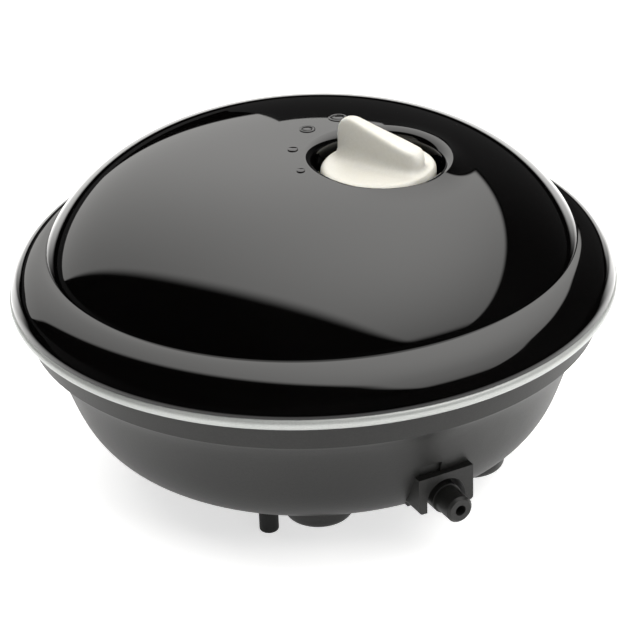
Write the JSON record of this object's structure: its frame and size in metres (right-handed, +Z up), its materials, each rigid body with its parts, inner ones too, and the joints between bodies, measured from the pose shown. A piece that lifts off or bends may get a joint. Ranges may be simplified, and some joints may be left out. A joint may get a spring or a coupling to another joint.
{
  "type": "aquarium air pump",
  "caption": "Round dome-topped aquarium air pump with a flow knob, a single front air outlet and a vibrating arm diaphragm pump inside",
  "frame": {"origin": "on the floor under the middle of the round case", "axes": "+Z up, -Y the way the air outlet points, +X to the right seen from above with the outlet towards the viewer"},
  "size_m": [0.1188, 0.1188, 0.0726],
  "materials": {
    "upper_shell": "gloss black",
    "trim_ring": "satin silver-grey",
    "lower_shell": "fine matte black",
    "foot_rubber": "matte",
    "zinc_steel": "zinc plated",
    "gland_rubber": "matte",
    "knob": "smooth cream white",
    "spindle": "moulded nylon",
    "control_body": "moulded, dark blue",
    "circuit_board": "bare paper laminate",
    "capacitor": "epoxy box",
    "terminal_block": "moulded green",
    "thyristor": "moulded black",
    "resistor": "lacquered",
    "chassis": "moulded grey",
    "isolator_rubber": "matte",
    "core_steel": "stacked silicon steel sheets",
    "bobbin": "natural nylon",
    "winding": "enamelled copper wire",
    "lead_wire": "insulated wire",
    "bracket_steel": "pressed steel",
    "pin_steel": "ground steel",
    "arm": "moulded black nylon",
    "magnet": "ferrite block",
    "diaphragm_rubber": "soft matte rubber",
    "pump_head": "natural moulded",
    "flap_rubber": "thin silicone sheet",
    "gasket_rubber": "soft sheet",
    "nozzle": "matte black",
    "tube_silicone": "silicone tube",
    "felt": "white needle felt",
    "filter_cover": "matte black"
  },
  "bodies": {
    "case": {"upper_shell": "upper_shell", "trim_ring": "trim_ring", "lower_shell": "lower_shell", "rubber_feet": "foot_rubber", "case_screws": "zinc_steel", "cord_gland": "gland_rubber", "control_body": "control_body", "circuit_board": "circuit_board", "board_screws": "zinc_steel", "film_capacitor": "capacitor", "terminal_block": "terminal_block", "thyristor": "thyristor", "resistor": "resistor", "chassis_plate": "chassis", "isolator_grommets": "isolator_rubber", "chassis_screws": "zinc_steel", "core_laminations": "core_steel", "coil_bobbin": "bobbin", "coil_winding": "winding", "core_screws": "zinc_steel", "coil_leads": "lead_wire", "arm_bracket": "bracket_steel", "bracket_screws": "zinc_steel", "pivot_pin": "pin_steel", "pump_head": "pump_head", "head_cover": "pump_head", "head_gasket": "gasket_rubber", "head_cover_screws": "zinc_steel", "head_mount_screws": "zinc_steel", "outlet_nozzle": "nozzle", "outlet_tube": "tube_silicone", "filter_felt": "felt", "filter_cover": "filter_cover"},
    "knob": {"flow_knob": "knob", "control_spindle": "spindle"},
    "arm": {"swing_arm": "arm", "arm_magnet": "magnet", "diaphragm_screw": "zinc_steel", "diaphragm": "diaphragm_rubber"},
    "inlet_valve": {"inlet_flap": "flap_rubber"},
    "outlet_valve": {"outlet_flap": "flap_rubber"}
  },
  "joints": [
    {"name": "knob_turn", "type": "hinge", "parent": "case", "child": "knob", "pos_m": [0.0085, -0.0123, 0.062], "axis": [0, 0, 1], "range_deg": [-37, 56]},
    {"name": "arm_swing", "type": "hinge", "parent": "case", "child": "arm", "pos_m": [-0.028, 0, 0.024], "axis": [0, 0, 1], "range_deg": [-1.3, 1.3], "stiffness_Nm_per_rad": 2, "deforming": ["diaphragm"]},
    {"name": "inlet_flap_bend", "type": "hinge", "parent": "case", "child": "inlet_valve", "pos_m": [-0.0043, -0.0117, 0.028], "axis": [1, 0, 0], "range_deg": [0, 14], "stiffness_Nm_per_rad": 0.0005},
    {"name": "outlet_flap_bend", "type": "hinge", "parent": "case", "child": "outlet_valve", "pos_m": [0.0036, -0.0143, 0.028], "axis": [-1, 0, 0], "range_deg": [0, 14], "stiffness_Nm_per_rad": 0.0005}
  ]
}
